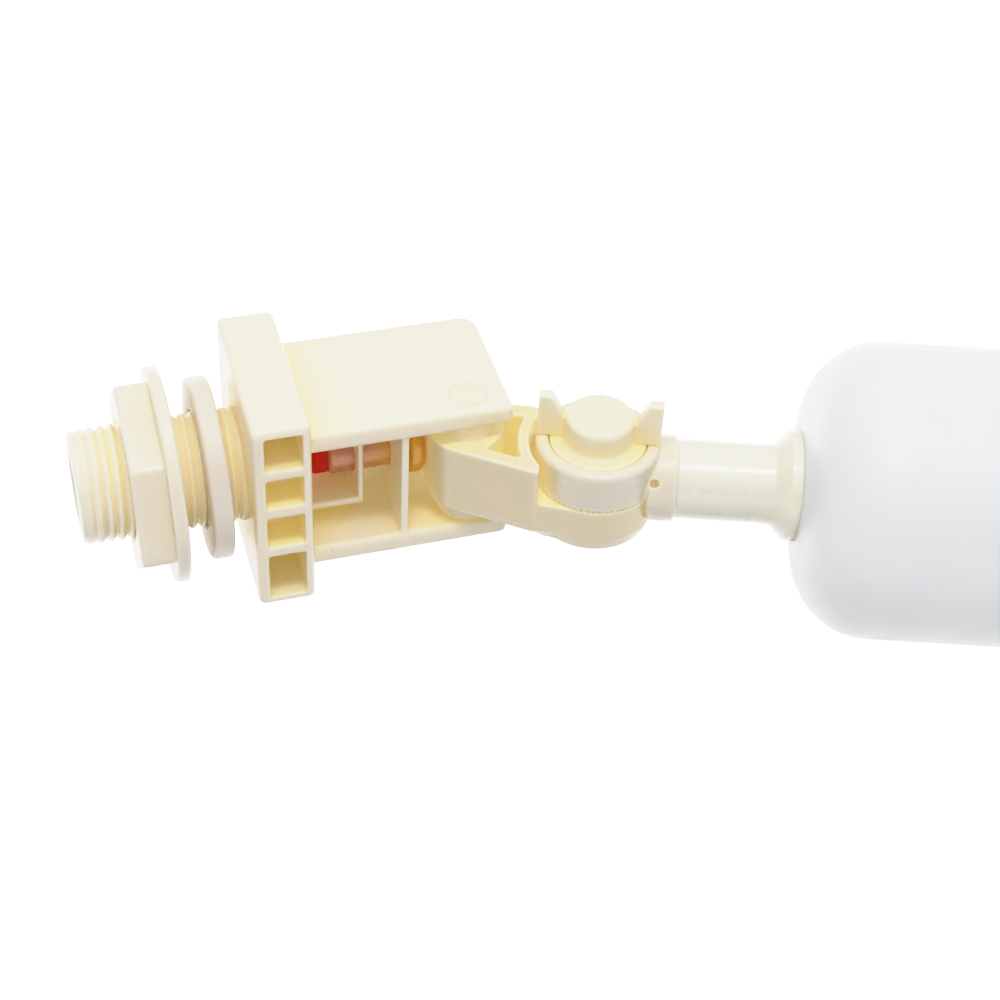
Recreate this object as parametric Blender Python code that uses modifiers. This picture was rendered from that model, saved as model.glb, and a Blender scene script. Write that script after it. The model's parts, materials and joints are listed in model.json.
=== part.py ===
"""Float valve: a moulded inlet body with a threaded stem, a lever-worked plunger and a float arm.

Frame: X runs along the threaded inlet stem towards the float, Z along the lever's pivot pin, and Y is the
way the float rises to shut the valve.  The origin is on the stem's axis at the body block's sealing face.
"""
import math

import bmesh
import bpy
from mathutils import Matrix, Vector

MM = 0.001
GAP = 0.3 * MM                      # clearance between touching pieces

# Body block, side plates, guide web and plunger cage
BLOCK_X = 10.4775 * MM
BLOCK_Y = 33.9 * MM
BLOCK_Z = 41.3 * MM
POCKET_X = (2.1 * MM, 8.85 * MM)
POCKET_DEEP = 12.0 * MM
POCKET_SHALLOW = 6.6 * MM
POCKETS = ((11.5 * MM, 18.8 * MM, POCKET_DEEP), (3.0 * MM, 9.4 * MM, POCKET_SHALLOW),
           (-6.3 * MM, 0.6 * MM, POCKET_SHALLOW), (-18.7 * MM, -8.6 * MM, POCKET_DEEP))
PLATE_END = 47.6 * MM
PLATE_Y = 27.7 * MM
PLATE_CORNER_R = (1.6 * MM, 3.0 * MM)  # near side, far side
PLATE_Z = (11.27 * MM, 15.35 * MM)
WEB_X = (27.25 * MM, 28.6 * MM)
CAGE_END = 21.6 * MM
CAGE_HALF = 7.66 * MM

# Inlet stem with its pipe thread
THREAD_R = 10.4775 * MM
THREAD_ROOT_R = 9.65 * MM
THREAD_PITCH = 1.814 * MM
STEM_END = -29.4 * MM
THREAD_STOP = -2.2 * MM
THREAD_RUN_IN = 1.4 * MM            # taper where the thread starts at the plain neck
NECK_R = 10.53 * MM
STEM_CHAMFER = (9.3 * MM, 1.9 * MM)
INLET_R = 6.6 * MM
INLET_STOP = 7.0 * MM
ORIFICE_R = 2.2 * MM
NOZZLE_R = 3.6 * MM
NOZZLE_TIP = 10.75 * MM

# Lock nut and sealing washer on the stem
NUT_X = (-20.4 * MM, -11.81 * MM)
NUT_FLANGE_X = -14.36 * MM
NUT_FLANGE_R = 19.6 * MM
NUT_HEX_R = 18.6 * MM
NUT_CORNER = math.radians(135.6)
STEM_BORE_R = 10.8 * MM
WASHER_X = (-7.34 * MM, -3.51 * MM)
WASHER_R = 16.6 * MM

# Plunger with its soft seal
PLUNGER_R = 4.6 * MM
PLUNGER_X = (15.4 * MM, 33.7 * MM)
PLUNGER_HEAD_X = 30.8 * MM
PLUNGER_HEAD_R = 6.7 * MM
SEAL_X = 13.0 * MM
SEAL_R = 4.2 * MM
SEAL_SPIGOT_R = 2.4 * MM

# Lever, turning on the pivot pin
PIVOT = Vector((40.46, -8.42)) * MM
PIN_R = 3.45 * MM
HUB_R = 6.75 * MM
HUB_BOSS_R = 5.2 * MM
NOSE = Vector((37.2, 0.0)) * MM
NOSE_R = 3.2 * MM
NOSE_Z = 6.0 * MM
LEVER_Z = (-7.1 * MM, 8.2 * MM)
LEVER_FLOOR = -5.3 * MM
NEAR_WALL = math.radians(-36.5)
WALL_T = 2.3 * MM
GUARD = Vector((63.2, -18.9)) * MM
GUARD_R = (13.6 * MM, 15.6 * MM)
GUARD_ARC = (math.radians(194.0), math.radians(126.0))
FAR_WALL = ((49.6 * MM, -8.0 * MM), (47.6 * MM, -7.1 * MM))
NECK_BACK = ((54.6 * MM, -6.6 * MM), (52.0 * MM, -9.5 * MM), (48.6 * MM, -15.0 * MM))

# Clamp: lever deck, arm head and wing bolt, on one axis parallel to the pivot
CLAMP = Vector((62.67, -17.1)) * MM
DECK_Z = -0.65 * MM
DECK_R = 11.3 * MM
BOWL_Z = -10.5 * MM
BOWL_R = 10.1 * MM
HEAD_Z = (-0.35 * MM, 7.95 * MM)
SEAT_R = 9.0 * MM
SEAT_Z = 5.0 * MM
SHANK_R = 4.0 * MM
BOLT_BORE_R = 4.1 * MM
DISC_R = 8.85 * MM
DISC_TOP = 7.75 * MM
KNOB_R = 6.34 * MM
KNOB_TOP = 13.2 * MM
WING_ANGLE = math.radians(-22.5)
WING_R = 11.15 * MM
WING_T = 2.2 * MM
WING_Z = (8.25 * MM, 17.2 * MM)
WING_ROOT_R = 4.5 * MM
WING_SLOPE = ((8.9 * MM, 17.2 * MM), (6.5 * MM, 13.8 * MM), (4.5 * MM, 12.2 * MM))

# Float arm and float, turned about the arm's axis; distances are from the clamp axis
ARM_ANGLE = math.radians(-18.9)
ARM_Z = -0.75 * MM
COLLAR_R = 8.0 * MM
COLLAR_S = (9.0 * MM, 14.8 * MM)
SOCKET_R = 5.3 * MM
VENT_R = 1.0 * MM
VENT_REACH = 2.5 * MM
VENT_SPOT = (11.1 * MM, 5.9 * MM, 4.3 * MM)  # along the arm, towards the near side, above the arm's axis
VENT_TILT = math.radians(53)
TUBE_R = 7.32 * MM
TUBE_S = 14.9 * MM
FLARE_S = 37.1 * MM
FLARE_R = 10.2 * MM
FLOAT_R = 27.3 * MM
FLOAT_S = (36.6 * MM, 130.0 * MM)
FLOAT_WALL = 1.6 * MM
FLOAT_NECK_R = 7.0 * MM


def clear_scene():
    for item in list(bpy.data.objects):
        bpy.data.objects.remove(item, do_unlink=True)


def collection(name):
    group = bpy.data.collections.new(name)
    bpy.context.scene.collection.children.link(group)
    return group


def material(name, colour, roughness):
    mat = bpy.data.materials.new(name)
    mat.use_nodes = True
    shader = mat.node_tree.nodes["Principled BSDF"]
    shader.inputs["Base Color"].default_value = (*colour, 1.0)
    shader.inputs["Roughness"].default_value = roughness
    shader.inputs["Metallic"].default_value = 0.0
    return mat


def add_object(name, mesh, group, mat=None):
    obj = bpy.data.objects.new(name, mesh)
    group.objects.link(obj)
    if mat:
        mesh.materials.append(mat)
    mesh.shade_smooth()
    mesh.set_sharp_from_angle(angle=math.radians(35))
    return obj


def as_tool(obj):
    obj.display_type = "WIRE"
    obj.hide_render = True
    return obj


def mesh_from(bm, name):
    bmesh.ops.recalc_face_normals(bm, faces=bm.faces)
    mesh = bpy.data.meshes.new(name)
    bm.to_mesh(mesh)
    bm.free()
    return mesh


def box_mesh(name, low, high):
    bm = bmesh.new()
    bmesh.ops.create_cube(bm, size=1.0)
    size = [b - a for a, b in zip(low, high)]
    centre = [(a + b) / 2 for a, b in zip(low, high)]
    bmesh.ops.scale(bm, vec=size, verts=bm.verts)
    bmesh.ops.translate(bm, vec=centre, verts=bm.verts)
    return mesh_from(bm, name)


def prism_mesh(name, outline, z0, z1):
    bm = bmesh.new()
    face = bm.faces.new([bm.verts.new((x, y, z0)) for x, y in outline])
    top = bmesh.ops.extrude_face_region(bm, geom=[face])
    moved = [v for v in top["geom"] if isinstance(v, bmesh.types.BMVert)]
    bmesh.ops.translate(bm, vec=(0, 0, z1 - z0), verts=moved)
    return mesh_from(bm, name)


def turned(name, profile, steps, group, mat=None):
    """Turn (radius, height) pairs, top to bottom, about the object's Z axis; a ring repeats its first."""
    ring = profile[0] == profile[-1]
    points = [(radius, 0, height) for radius, height in (profile[:-1] if ring else profile)]
    edges = [(i, i + 1) for i in range(len(points) - 1)]
    if ring:
        edges.append((len(points) - 1, 0))
    mesh = bpy.data.meshes.new(name)
    mesh.from_pydata(points, edges, [])
    obj = add_object(name, mesh, group, mat)
    screw = obj.modifiers.new("Turn", "SCREW")
    screw.steps = steps
    screw.render_steps = steps
    screw.use_merge_vertices = True
    screw.merge_threshold = 1e-6
    screw.use_smooth_shade = True
    return obj


def bevel(obj, width, segments=2):
    mod = obj.modifiers.new("Bevel", "BEVEL")
    mod.width = width
    mod.segments = segments
    mod.limit_method = "ANGLE"
    mod.angle_limit = math.radians(40)
    return obj


def combine(obj, tool, operation):
    mod = obj.modifiers.new(tool.name, "BOOLEAN")
    mod.operation = operation
    mod.object = tool
    mod.solver = "EXACT"


def arc(centre, radius, start, end, steps):
    for i in range(steps + 1):
        a = start + (end - start) * i / steps
        yield centre.x + radius * math.cos(a), centre.y + radius * math.sin(a)


def along_x(obj):
    obj.rotation_euler = (0, math.radians(90), 0)
    return obj


def along_arm(obj):
    """Lay a shape turned about Z along the float arm, with its height measured from the clamp axis."""
    obj.location = (CLAMP.x, CLAMP.y, ARM_Z)
    obj.rotation_euler = (0, math.radians(90), ARM_ANGLE)
    return obj


def on_clamp(obj):
    obj.location = (CLAMP.x, CLAMP.y, 0)
    return obj


def thread_mesh(name, start, turns, steps):
    """One continuous helical ridge round a core, running along Z."""
    flat = THREAD_PITCH * 0.2
    slope = THREAD_PITCH * 0.3
    profile = ((0, THREAD_ROOT_R), (flat, THREAD_ROOT_R),
               (flat + slope, THREAD_R), (2 * flat + slope, THREAD_R))
    count = len(profile)
    rows = turns * count
    bm = bmesh.new()
    grid = {}
    for i in range(rows + count + 1):
        dz, radius = profile[i % count]
        for j in range(steps if i <= rows else 1):
            a = 2 * math.pi * j / steps
            z = start + THREAD_PITCH * (i // count + j / steps) + dz
            grid[i, j] = bm.verts.new((radius * math.cos(a), radius * math.sin(a), z))
    for i in range(rows + 1):
        grid[i, steps] = grid[i + count, 0]
    for i in range(rows):
        for j in range(steps):
            bm.faces.new((grid[i, j], grid[i, j + 1], grid[i + 1, j + 1], grid[i + 1, j]))
    for row, height in ((0, start - THREAD_PITCH), (rows, start + THREAD_PITCH * (turns + 2))):
        rim = [grid[row, j] for j in range(steps + 1)] + [grid[row + k, 0] for k in range(count - 1, 0, -1)]
        tip = bm.verts.new((0, 0, height))
        for a, b in zip(rim, rim[1:] + rim[:1]):
            bm.faces.new((a, b, tip))
    return mesh_from(bm, name)


def build_stem(tools):
    """Threaded inlet stem: a helical thread trimmed to length, with a plain neck at the block."""
    stem = as_tool(add_object("stem_tool", thread_mesh("stem", -31.5 * MM, 17, 26), tools))
    outside = THREAD_R + 0.7 * MM
    inside_neck = THREAD_STOP + 0.2 * MM
    tip_r, chamfer = STEM_CHAMFER
    trim_profile = ((0, inside_neck), (outside, inside_neck), (outside, STEM_END + chamfer),
                    (tip_r, STEM_END), (0, STEM_END))
    trim = as_tool(turned("stem_trim", trim_profile, 40, tools))
    run_in = THREAD_STOP - THREAD_RUN_IN
    neck_profile = ((0, MM), (NECK_R, MM), (NECK_R, THREAD_STOP), (THREAD_ROOT_R - 1.1 * MM, run_in),
                    (0, run_in))
    neck = as_tool(turned("stem_neck", neck_profile, 36, tools))
    combine(stem, trim, "INTERSECT")
    combine(stem, neck, "UNION")
    for obj in (stem, trim, neck):
        along_x(obj)
    return stem


def build_plates(tools):
    plates = []
    for side in (1, -1):
        low, high = sorted((side * PLATE_Z[0], side * PLATE_Z[1]))
        near, far = PLATE_CORNER_R
        half = PLATE_Y / 2
        outline = [(BLOCK_X - 2 * MM, half), (BLOCK_X - 2 * MM, -half)]
        outline += arc(Vector((PLATE_END - near, -half + near)), near, math.radians(-90), 0, 4)
        outline += arc(Vector((PLATE_END - far, half - far)), far, 0, math.radians(90), 4)
        plate = add_object("plate_tool", prism_mesh("plate", outline, low, high), tools)
        plates.append(bevel(as_tool(plate), 1.1 * MM))
    return plates


def build_cage(tools):
    """Plunger cage: a roof, a floor and an end wall, open on both sides for the water."""
    walls = []
    for side in (1, -1):
        low, high = sorted((side * CAGE_HALF, side * (CAGE_HALF - 1.55 * MM)))
        walls.append(box_mesh("cage_wall", (BLOCK_X - MM, -CAGE_HALF, low), (CAGE_END, CAGE_HALF, high)))
    walls.append(box_mesh("cage_end", (CAGE_END - 1.0 * MM, -CAGE_HALF, -CAGE_HALF + MM),
                          (CAGE_END, CAGE_HALF, CAGE_HALF - MM)))
    return [as_tool(add_object("cage_tool", wall, tools)) for wall in walls]


def pocket_tools(tools):
    """Open pockets in the block's two long sides; the shallow ones stay clear of the inlet bore."""
    cutters = []
    for low, high, depth in POCKETS:
        for side in (1, -1):
            y0, y1 = sorted((side * (BLOCK_Y / 2 + MM), side * (BLOCK_Y / 2 - depth)))
            mesh = box_mesh("pocket", (POCKET_X[0], y0, low), (POCKET_X[1], y1, high))
            cutters.append(as_tool(add_object("pocket_cutter", mesh, tools)))
    return cutters


def bore_tool(tools, name, radius, x0, x1, steps=32):
    profile = ((0, x1), (radius, x1), (radius, x0), (0, x0))
    return along_x(as_tool(turned(name, profile, steps, tools)))


def build_valve_body(parts, tools, mat):
    low = (0, -BLOCK_Y / 2, -BLOCK_Z / 2)
    high = (BLOCK_X, BLOCK_Y / 2, BLOCK_Z / 2)
    body = bevel(add_object("valve_body", box_mesh("valve_body", low, high), parts, mat), 1.5 * MM)
    for tool in build_plates(tools):
        combine(body, tool, "UNION")
    web_low = (WEB_X[0], -13.3 * MM, -PLATE_Z[0] - 0.6 * MM)
    web_high = (WEB_X[1], 13.3 * MM, PLATE_Z[0] + 0.6 * MM)
    combine(body, as_tool(add_object("web_tool", box_mesh("web", web_low, web_high), tools)), "UNION")
    for tool in build_cage(tools):
        combine(body, tool, "UNION")
    combine(body, build_stem(tools), "UNION")
    nozzle_profile = ((0, NOZZLE_TIP), (NOZZLE_R - 0.6 * MM, NOZZLE_TIP), (NOZZLE_R, NOZZLE_TIP - 0.25 * MM),
                      (NOZZLE_R, BLOCK_X - MM), (0, BLOCK_X - MM))
    nozzle = as_tool(turned("nozzle_tool", nozzle_profile, 32, tools))
    combine(body, along_x(nozzle), "UNION")
    for tool in pocket_tools(tools):
        combine(body, tool, "DIFFERENCE")
    guide = bore_tool(tools, "guide_cutter", PLUNGER_R + 0.08 * MM, CAGE_END - 2 * MM, WEB_X[1] + MM, 30)
    combine(body, guide, "DIFFERENCE")
    profile = ((0, 16 * MM), (PIN_R + 0.05 * MM, 16 * MM), (PIN_R + 0.05 * MM, -16 * MM), (0, -16 * MM))
    pin_hole = as_tool(turned("pin_cutter", profile, 32, tools))
    pin_hole.location = (PIVOT.x, PIVOT.y, 0)
    combine(body, pin_hole, "DIFFERENCE")
    combine(body, bore_tool(tools, "inlet_cutter", INLET_R, STEM_END - MM, INLET_STOP), "DIFFERENCE")
    orifice = bore_tool(tools, "orifice_cutter", ORIFICE_R, INLET_STOP - MM, NOZZLE_TIP + MM, 20)
    combine(body, orifice, "DIFFERENCE")
    return body


def build_pivot_pin(parts, mat):
    top = PLATE_Z[1]
    c = 0.3 * MM
    profile = ((0, top), (PIN_R - c, top), (PIN_R, top - c), (PIN_R, -top + c), (PIN_R - c, -top), (0, -top))
    pin = turned("pivot_pin", profile, 32, parts, mat)
    pin.location = (PIVOT.x, PIVOT.y, 0)
    return pin


def build_lock_nut(parts, tools, mat):
    """Hexagon with a round flange, on the stem."""
    bm = bmesh.new()
    depth = NUT_FLANGE_X - NUT_X[0] + MM
    bmesh.ops.create_cone(bm, cap_ends=True, segments=6, radius1=NUT_HEX_R, radius2=NUT_HEX_R, depth=depth)
    bmesh.ops.rotate(bm, verts=bm.verts, cent=(0, 0, 0), matrix=Matrix.Rotation(NUT_CORNER, 3, "Z"))
    bmesh.ops.translate(bm, verts=bm.verts, vec=(0, 0, NUT_X[0] + depth / 2))
    nut = bevel(add_object("lock_nut", mesh_from(bm, "lock_nut"), parts, mat), 0.9 * MM, 3)
    edge = 0.5 * MM
    profile = ((0, NUT_X[1]), (NUT_FLANGE_R - edge, NUT_X[1]), (NUT_FLANGE_R, NUT_X[1] - edge),
               (NUT_FLANGE_R, NUT_FLANGE_X + edge), (NUT_FLANGE_R - edge, NUT_FLANGE_X), (0, NUT_FLANGE_X))
    flange = as_tool(turned("flange_tool", profile, 48, tools))
    combine(nut, flange, "UNION")
    c = 0.7 * MM
    bore = ((0, NUT_X[1] + MM), (STEM_BORE_R + c + MM, NUT_X[1] + MM), (STEM_BORE_R, NUT_X[1] - c),
            (STEM_BORE_R, NUT_X[0] + c), (STEM_BORE_R + c + MM, NUT_X[0] - MM), (0, NUT_X[0] - MM))
    cutter = as_tool(turned("nut_bore_cutter", bore, 36, tools))
    combine(nut, cutter, "DIFFERENCE")
    for obj in (nut, flange, cutter):
        along_x(obj)
    return nut


def build_sealing_washer(parts, mat):
    c = 0.5 * MM
    x0, x1 = WASHER_X
    inner = STEM_BORE_R + 0.1 * MM
    profile = ((inner, x1), (WASHER_R - c, x1), (WASHER_R, x1 - c), (WASHER_R, x0 + c), (WASHER_R - c, x0),
               (inner, x0), (inner, x1))
    return along_x(turned("sealing_washer", profile, 40, parts, mat))


def build_plunger(parts, mat):
    """Guided rod with a push head at the lever and a pocket for the seal at the other end."""
    x0, x1 = PLUNGER_X
    c = 0.7 * MM
    pocket = SEAL_SPIGOT_R + 0.2 * MM
    profile = ((0, x1), (PLUNGER_HEAD_R - 2 * c, x1), (PLUNGER_HEAD_R, x1 - c),
               (PLUNGER_HEAD_R, PLUNGER_HEAD_X + c), (PLUNGER_HEAD_R - c, PLUNGER_HEAD_X),
               (PLUNGER_R, PLUNGER_HEAD_X), (PLUNGER_R, x0), (pocket, x0), (pocket, x0 + 2.2 * MM),
               (0, x0 + 2.2 * MM))
    return along_x(turned("plunger", profile, 32, parts, mat))


def build_plunger_seal(parts, mat):
    back = PLUNGER_X[0] - 0.1 * MM
    tip = PLUNGER_X[0] + 2.0 * MM
    c = 0.6 * MM
    profile = ((0, tip), (SEAL_SPIGOT_R, tip), (SEAL_SPIGOT_R, back), (SEAL_R, back), (SEAL_R, SEAL_X + c),
               (SEAL_R - c, SEAL_X), (0, SEAL_X))
    return along_x(turned("plunger_seal", profile, 32, parts, mat))


def nose_outline():
    """Hub circle and nose circle joined by their outer tangents."""
    line = NOSE - PIVOT
    heading = math.atan2(line.y, line.x)
    spread = math.acos((HUB_R - NOSE_R) / line.length)
    points = list(arc(NOSE, NOSE_R, heading - spread, heading + spread, 10))
    points += arc(PIVOT, HUB_R, heading + spread, heading + 2 * math.pi - spread, 16)
    return points


def near_wall_point(distance, inset=0.0):
    """A point on the near wall's outer face, a distance along it from where it leaves the hub."""
    out = Vector((math.sin(NEAR_WALL), -math.cos(NEAR_WALL)))
    run = Vector((math.cos(NEAR_WALL), math.sin(NEAR_WALL)))
    return PIVOT + out * (HUB_R + 0.4 * MM - inset) + run * distance


def lever_outline():
    """Plan of the lever from hub to guard: near wall, the guard's inner face, far wall, hub."""
    far_end = GUARD + Vector((math.cos(GUARD_ARC[1]), math.sin(GUARD_ARC[1]))) * GUARD_R[1]
    points = [tuple(near_wall_point(0)), tuple(near_wall_point(15.2 * MM))]
    points.append(tuple(near_wall_point(16.4 * MM, 0.9 * MM)))
    points += arc(GUARD, GUARD_R[0], GUARD_ARC[0], GUARD_ARC[1], 12)
    points.append(tuple(far_end))
    points += arc(PIVOT, HUB_R, math.radians(66), math.radians(225), 14)
    return points


def pocket_outline():
    """Plan of the open pocket between the hub, the two walls and the guard."""
    points = [tuple(near_wall_point(5.6 * MM, WALL_T)), tuple(near_wall_point(11.4 * MM, WALL_T))]
    points += arc(GUARD, GUARD_R[1], math.radians(180), math.radians(140), 8)
    points += FAR_WALL
    points += arc(PIVOT, HUB_R, math.radians(8), math.radians(-52), 6)
    return points


def neck_outline():
    """Plan of the lower half that carries the clamp deck."""
    points = [tuple(near_wall_point(12 * MM, 0.3 * MM)), tuple(near_wall_point(16.2 * MM, 0.6 * MM))]
    points += arc(CLAMP, DECK_R, math.radians(-112), math.radians(108), 18)
    points += NECK_BACK
    return points


def build_lever(parts, tools, mat):
    lever = add_object("lever", prism_mesh("lever", lever_outline(), *LEVER_Z), parts, mat)
    lever.data.transform(Matrix.Translation((-PIVOT.x, -PIVOT.y, 0)))
    lever.location = (PIVOT.x, PIVOT.y, 0)
    bevel(lever, 0.45 * MM, 2)
    nose = as_tool(add_object("nose_tool", prism_mesh("nose", nose_outline(), -NOSE_Z, NOSE_Z), tools))
    combine(lever, nose, "UNION")
    neck_mesh = prism_mesh("neck", neck_outline(), LEVER_Z[0] + 0.2 * MM, DECK_Z)
    combine(lever, as_tool(add_object("neck_tool", neck_mesh, tools)), "UNION")
    bowl_profile = ((0, DECK_Z), (DECK_R, DECK_Z), (DECK_R, -5.0 * MM), (DECK_R - 0.3 * MM, -7.4 * MM),
                    (BOWL_R + 0.3 * MM, BOWL_Z + 0.9 * MM), (BOWL_R - 0.6 * MM, BOWL_Z), (0, BOWL_Z))
    bowl = on_clamp(as_tool(turned("bowl_tool", bowl_profile, 48, tools)))
    combine(lever, bowl, "UNION")
    reach = PLATE_Z[0] - GAP
    boss_profile = ((0, reach), (HUB_BOSS_R, reach), (HUB_BOSS_R, -reach), (0, -reach))
    boss = as_tool(turned("boss_tool", boss_profile, 32, tools))
    boss.location = (PIVOT.x, PIVOT.y, 0)
    combine(lever, boss, "UNION")
    pocket_mesh = prism_mesh("lever_pocket", pocket_outline(), LEVER_FLOOR, LEVER_Z[1] + MM)
    combine(lever, as_tool(add_object("pocket_tool", pocket_mesh, tools)), "DIFFERENCE")
    for name, centre, radius in (("pin_bore", PIVOT, PIN_R + 0.1 * MM), ("bolt_bore", CLAMP, BOLT_BORE_R)):
        profile = ((0, 14 * MM), (radius, 14 * MM), (radius, -14 * MM), (0, -14 * MM))
        cutter = as_tool(turned(name + "_cutter", profile, 32, tools))
        cutter.location = (centre.x, centre.y, 0)
        cutter.rotation_euler = (0, 0, math.radians(3.2))
        combine(lever, cutter, "DIFFERENCE")
    return lever


def build_arm_head(parts, tools, mat):
    """Clamping ring with a seat for the wing bolt's disc, and the collar that takes the float stem."""
    c = 0.8 * MM
    top = HEAD_Z[1]
    profile = ((BOLT_BORE_R, SEAT_Z), (SEAT_R, SEAT_Z), (SEAT_R, top), (DECK_R - c, top), (DECK_R, top - c),
               (DECK_R, HEAD_Z[0]), (BOLT_BORE_R, HEAD_Z[0]), (BOLT_BORE_R, SEAT_Z))
    head = on_clamp(turned("arm_head", profile, 48, parts, mat))
    s0, s1 = COLLAR_S
    collar_profile = ((0, s1), (COLLAR_R - 0.5 * MM, s1), (COLLAR_R, s1 - 0.5 * MM), (COLLAR_R, s0 + MM),
                      (COLLAR_R - MM, s0), (0, s0))
    collar = along_arm(as_tool(turned("collar_tool", collar_profile, 40, tools)))
    reach = 12 * MM
    clear_r = DECK_R + 0.4 * MM
    clear_profile = ((0, HEAD_Z[0]), (clear_r, HEAD_Z[0]), (clear_r, -reach), (0, -reach))
    clear = on_clamp(as_tool(turned("deck_cutter", clear_profile, 48, tools)))
    inside_r = SEAT_R + 1.0 * MM
    inside_profile = ((0, reach), (inside_r, reach), (inside_r, -reach), (0, -reach))
    inside = on_clamp(as_tool(turned("inside_cutter", inside_profile, 48, tools)))
    combine(collar, clear, "DIFFERENCE")
    combine(collar, inside, "DIFFERENCE")
    combine(head, collar, "UNION")
    socket_profile = ((0, s1 + MM), (SOCKET_R, s1 + MM), (SOCKET_R, s0 + 3.4 * MM), (0, s0 + 3.4 * MM))
    socket = along_arm(as_tool(turned("socket_cutter", socket_profile, 32, tools)))
    combine(head, socket, "DIFFERENCE")
    combine(head, vent_tool(tools), "DIFFERENCE")
    return head


def vent_tool(tools):
    """Small hole through the collar's shoulder on its near side."""
    profile = ((0, VENT_REACH), (VENT_R, VENT_REACH), (VENT_R, -VENT_REACH), (0, -VENT_REACH))
    vent = as_tool(turned("vent_cutter", profile, 14, tools))
    along, aside, above = VENT_SPOT
    direction = Vector((math.cos(ARM_ANGLE), math.sin(ARM_ANGLE)))
    side = Vector((direction.y, -direction.x))
    spot = CLAMP + direction * along + side * aside
    vent.location = (spot.x, spot.y, ARM_Z + above)
    vent.rotation_euler = (VENT_TILT, 0, ARM_ANGLE)
    return vent


def build_wing_bolt(parts, tools, mat):
    """Clamping bolt: shank, seated disc, round knob and two finger wings."""
    c = 0.6 * MM
    disc_bottom = SEAT_Z + GAP
    edge = 0.2 * MM
    profile = ((0, KNOB_TOP), (KNOB_R - c, KNOB_TOP), (KNOB_R, KNOB_TOP - c), (KNOB_R, DISC_TOP),
               (DISC_R - edge, DISC_TOP), (DISC_R, DISC_TOP - edge), (DISC_R, disc_bottom),
               (SHANK_R, disc_bottom),
               (SHANK_R, BOWL_Z + 1.6 * MM), (SHANK_R - 0.6 * MM, BOWL_Z + 1.0 * MM), (0, BOWL_Z + 1.0 * MM))
    bolt = on_clamp(turned("wing_bolt", profile, 40, parts, mat))
    low, high = WING_Z
    for turn in (0, math.pi):
        outline = [(WING_ROOT_R, low), (WING_R, low), (WING_R, high), *WING_SLOPE]
        mesh = prism_mesh("wing", outline, -WING_T / 2, WING_T / 2)
        mesh.transform(Matrix.Rotation(math.pi / 2, 4, "X"))
        wing = bevel(as_tool(add_object("wing_tool", mesh, tools)), 0.35 * MM, 2)
        on_clamp(wing)
        wing.rotation_euler = (0, 0, WING_ANGLE + turn)
        combine(bolt, wing, "UNION")
    return bolt


def build_float_stem(parts, mat):
    """Hollow arm tube: spigot for the collar's socket, plain tube, flare and the plug inside the float."""
    spigot_r = SOCKET_R - 0.15 * MM
    end = FLARE_S + 7.0 * MM
    bore = 4.2 * MM
    plug_r = FLOAT_NECK_R - GAP
    profile = ((bore, end), (plug_r, end), (plug_r, FLARE_S), (FLARE_R - 0.3 * MM, FLARE_S),
               (FLARE_R, FLARE_S - 0.4 * MM), (FLARE_R, 35.2 * MM), (FLARE_R - 0.3 * MM, 34.7 * MM),
               (9.1 * MM, 33.8 * MM), (7.6 * MM, 32.6 * MM), (TUBE_R, 31.9 * MM),
               (TUBE_R, TUBE_S + 0.2 * MM),
               (TUBE_R - 0.2 * MM, TUBE_S), (spigot_r, TUBE_S), (spigot_r, 12.7 * MM), (0, 12.7 * MM),
               (0, TUBE_S + 3 * MM), (bore, TUBE_S + 3 * MM), (bore, end))
    return along_arm(turned("float_stem", list(stem_loop(profile)), 32, parts, mat))


def stem_loop(profile):
    """Leave out the axis run of the profile, which the spin closes to a point at each end."""
    split = next(i for i, (a, b) in enumerate(zip(profile, profile[1:])) if a[0] == 0 and b[0] == 0)
    yield from profile[split + 1:-1]
    yield from profile[:split + 1]


def shoulder(start, direction, radius, depth, height, steps):
    """Quarter-ellipse corner of the float, from its end face out to its side."""
    for i in range(steps + 1):
        a = math.pi / 2 * i / steps
        yield radius - height + height * math.sin(a), start + direction * depth * (1 - math.cos(a))


def build_float_shell(parts, mat):
    """Hollow blown float, open only at the neck that the stem plugs."""
    s0, s1 = FLOAT_S
    near = list(shoulder(s0 + 0.8 * MM, 1, FLOAT_R, 13.7 * MM, 13.6 * MM, 7))
    far = list(shoulder(s1, -1, FLOAT_R, 13.0 * MM, 13.0 * MM, 6))
    t = FLOAT_WALL
    near_in = list(shoulder(s0 + 2.6 * MM, 1, FLOAT_R - t, 12.2 * MM, 12.2 * MM, 4))
    far_in = list(shoulder(s1 - t, -1, FLOAT_R - t, 11.6 * MM, 11.6 * MM, 4))
    recess = FLARE_S + 0.3 * MM
    inner = [(0, s1 - t)] + far_in + near_in[::-1] + [(FLOAT_NECK_R, recess + t)]
    outer = [(FLOAT_NECK_R, recess), (FLARE_R + 0.3 * MM, recess), (FLARE_R + 0.3 * MM, s0), (11.6 * MM, s0)]
    outer += near + far[::-1] + [(0, s1)]
    return along_arm(turned("float_shell", (inner + outer)[::-1], 32, parts, mat))


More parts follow.
